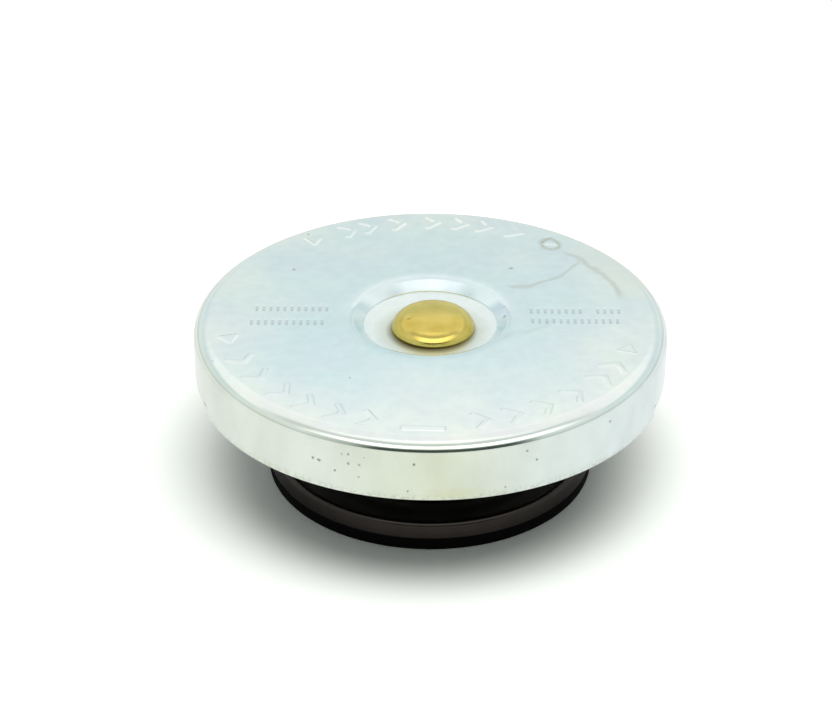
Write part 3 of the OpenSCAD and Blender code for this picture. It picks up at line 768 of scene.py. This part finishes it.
# Vacuum spring: a light coil of fine plated wire on top of the eyelet. It pushes the cup washer up, so
# that the rubber washer stays shut on the eyelet's lower flange.
VACUUM_LOW, VACUUM_HIGH = 8.6, 12.2
bm = wind_spring(3.3, 0.45, VACUUM_LOW, VACUUM_HIGH, 4.5, sides=12, steps=36)
fine_coil = make_piece("vacuum_spring_coil", bm, spring_wire)
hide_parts("vacuum_spring")
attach(fine_coil, "pressure_valve")
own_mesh(fine_coil)

# Studio: a table of white paper in a pale room, under one broad light. The table keeps the shadow, and
# beyond it turns to plain white for the camera and for reflections.
TABLE_LIT = (0.95, 0.95, 0.95, 1)
TABLE_SEEN = (1.21, 1.25, 1.19, 1)
SHADOW_ENDS, WHITE_FROM = 0.11, 0.2
bm = bmesh.new()
bmesh.ops.create_grid(bm, x_segments=1, y_segments=1, size=2)
table_mesh = bpy.data.meshes.new("table")
bm.to_mesh(table_mesh)
bm.free()
table = bpy.data.objects.new("table", table_mesh)
bpy.context.scene.collection.objects.link(table)
paper = bpy.data.materials.new("white_paper")
paper.use_nodes = True
tree = paper.node_tree
tree.nodes.remove(tree.nodes["Principled BSDF"])
table_mesh.materials.append(paper)
path_kind = add(paper, "LightPath")
whiteness = add(
    paper, "Mix", {0: path_kind.outputs["Is Camera Ray"], 6: TABLE_LIT, 7: TABLE_SEEN}, data_type="RGBA"
)
diffuse = add(paper, "BsdfDiffuse", {"Color": whiteness.outputs[2]})
seen = add(
    paper, "Math", {0: path_kind.outputs["Is Camera Ray"], 1: path_kind.outputs["Is Glossy Ray"]},
    operation="MAXIMUM",
)
away = add(paper, "VectorMath", {0: add(paper, "TexCoord").outputs["Object"]}, operation="LENGTH")
beyond = add(paper, "MapRange", {"Value": away.outputs["Value"], 1: SHADOW_ENDS, 2: WHITE_FROM})
backdrop = add(paper, "Math", {0: seen.outputs[0], 1: beyond.outputs[0]}, operation="MULTIPLY")
white = add(paper, "Emission")
surface = add(paper, "MixShader", {0: backdrop.outputs[0], 1: diffuse.outputs[0], 2: white.outputs[0]})
tree.links.new(surface.outputs[0], tree.nodes["Material Output"].inputs["Surface"])
paper.cycles.emission_sampling = "NONE"

# The room is what the bright plate mirrors: three bands of (height, colour), behind the cap, beside it
# and in front, each blended into the next round the horizon.
world = bpy.data.worlds.new("studio")
bpy.context.scene.world = world
world.use_nodes = True
direction = add(world, "TexCoord").outputs["Generated"]
axes = add(world, "SeparateXYZ", {0: direction})
BEHIND = (
    (0, (0.64, 0.69, 0.66)), (0.1, (0.78, 0.83, 0.8)), (0.25, (0.88, 0.93, 0.92)),
    (0.4, (0.76, 0.85, 0.87)), (0.45, (0.77, 0.86, 0.87)), (0.5, (0.9, 0.95, 0.95)),
    (0.545, (1.05, 1.08, 1.06)), (0.62, (1.08, 1.08, 1.07)), (0.8, (1.02, 1.02, 1.02)),
    (1, (1.02, 1.02, 1.02)),
)
BESIDE = (
    (0, (0.58, 0.63, 0.6)), (0.25, (0.86, 0.9, 0.88)), (0.42, (0.88, 0.9, 0.89)),
    (0.56, (0.84, 0.86, 0.85)), (0.68, (0.68, 0.71, 0.7)), (0.8, (0.74, 0.76, 0.76)),
    (0.92, (1.22, 1.22, 1.22)), (1, (1.2, 1.2, 1.2)),
)
IN_FRONT = (
    (0, (0.52, 0.58, 0.54)), (0.45, (0.62, 0.67, 0.64)), (0.74, (0.68, 0.71, 0.7)),
    (0.8, (0.72, 0.75, 0.76)), (0.88, (0.74, 0.77, 0.78)), (0.95, (1.35, 1.35, 1.35)),
    (1, (1.35, 1.35, 1.35)),
)
sides = []
for stops in (BEHIND, BESIDE, IN_FRONT):
    levels = add(world, "ValToRGB", {0: axes.outputs["Z"]})
    ramp = levels.color_ramp
    ramp.elements[0].position, ramp.elements[1].position = stops[0][0], stops[-1][0]
    ramp.elements[0].color, ramp.elements[1].color = (*stops[0][1], 1), (*stops[-1][1], 1)
    for position, colour in stops[1:-1]:
        ramp.elements.new(position).color = (*colour, 1)
    sides.append(levels.outputs[0])
round_to = add(world, "Math", {0: axes.outputs["X"], 1: axes.outputs["Y"]}, operation="ARCTAN2")
round_to = add(world, "Math", {0: round_to.outputs[0]}, operation="ABSOLUTE").outputs[0]
aside = add(world, "MapRange", {"Value": round_to, 1: 1.35, 2: 1.75})
room = add(world, "Mix", {0: aside.outputs[0], 6: sides[0], 7: sides[1]}, data_type="RGBA")
facing = add(world, "MapRange", {"Value": round_to, 1: 2.1, 2: 2.45})
room = add(world, "Mix", {0: facing.outputs[0], 6: room.outputs[2], 7: sides[2]}, data_type="RGBA")

# In front, the room is dark low down with a bright window above it. They draw the white band and the
# dark line along the shell's front corner. The window shows in reflections alone.
DARK = (0.06, 0.08, 0.08, 1)
WINDOW = (2, 2, 2, 1)
forward = add(world, "Math", {0: axes.outputs["Y"], 1: -1}, operation="MULTIPLY")
bearing = add(world, "Math", {0: axes.outputs["X"], 1: forward.outputs[0]}, operation="ARCTAN2")
aside = add(world, "Math", {0: bearing.outputs[0], 1: 0.12}, operation="SUBTRACT")
aside = add(world, "Math", {0: aside.outputs[0]}, operation="ABSOLUTE")
narrow = add(world, "MapRange", {"Value": aside.outputs[0], 1: 0.75, 2: 0.55})
low = add(world, "MapRange", {"Value": axes.outputs["Z"], 1: 0.4, 2: 0.31})
dark = add(world, "Math", {0: narrow.outputs[0], 1: low.outputs[0]}, operation="MULTIPLY")
dimmed = add(world, "Mix", {0: dark.outputs[0], 6: room.outputs[2], 7: DARK}, data_type="RGBA")
path_kind = add(world, "LightPath")
mirrored = add(
    world, "Math", {0: path_kind.outputs["Is Camera Ray"], 1: path_kind.outputs["Is Glossy Ray"]},
    operation="MAXIMUM",
)
above = add(world, "MapRange", {"Value": axes.outputs["Z"], 1: 0.42, 2: 0.47})
below = add(world, "MapRange", {"Value": axes.outputs["Z"], 1: 0.74, 2: 0.69})
window = add(world, "Math", {0: above.outputs[0], 1: below.outputs[0]}, operation="MULTIPLY")
broad = add(world, "MapRange", {"Value": aside.outputs[0], 1: 1.3, 2: 0.7})
window = add(world, "Math", {0: window.outputs[0], 1: broad.outputs[0]}, operation="MULTIPLY")
window = add(world, "Math", {0: window.outputs[0], 1: mirrored.outputs[0]}, operation="MULTIPLY")
lit = add(world, "Mix", {0: window.outputs[0], 6: dimmed.outputs[2], 7: WINDOW}, data_type="RGBA")
lit = add(
    world, "Mix", {0: path_kind.outputs["Is Camera Ray"], 6: lit.outputs[2], 7: (1, 1, 1, 1)},
    data_type="RGBA",
)
background = world.node_tree.nodes["Background"]
world.node_tree.links.new(lit.outputs[2], background.inputs["Color"])
ROOM_LIGHT = 0.46
share = add(world, "MapRange", {"Value": mirrored.outputs[0], 3: ROOM_LIGHT, 4: 1})
world.node_tree.links.new(share.outputs[0], background.inputs["Strength"])

# One broad lamp overhead throws the soft shadow, and doesn't show in the plate.
lamp_data = bpy.data.lights.new("overhead_softbox", "AREA")
lamp_data.shape = "ELLIPSE"
lamp_data.size = 0.56
lamp_data.size_y = 0.4
lamp_data.energy = 2
lamp = bpy.data.objects.new("overhead_softbox", lamp_data)
lamp.location = (0.04, -0.08, 0.5)
lamp.visible_camera = False
lamp.visible_glossy = False
bpy.context.scene.collection.objects.link(lamp)

# Camera: fitted to the outlines of the shell and the lower seal. It looks down on the cap at about 30
# degrees, with the cap's axis a little right of the middle of the frame.
camera_data = bpy.data.cameras.new("camera")
camera_data.lens = 89.3
camera_data.sensor_width = 36
camera_data.clip_start = 0.01
camera = bpy.data.objects.new("camera", camera_data)
bpy.context.scene.collection.objects.link(camera)
camera.location = Vector((0, -250.7, 164.8)) * MM
aim = Vector((-2, 0, 15.51)) * MM
camera.rotation_euler = (aim - camera.location).to_track_quat("-Z", "Y").to_euler()
bpy.context.scene.camera = camera
bpy.context.scene.view_settings.view_transform = "Standard"
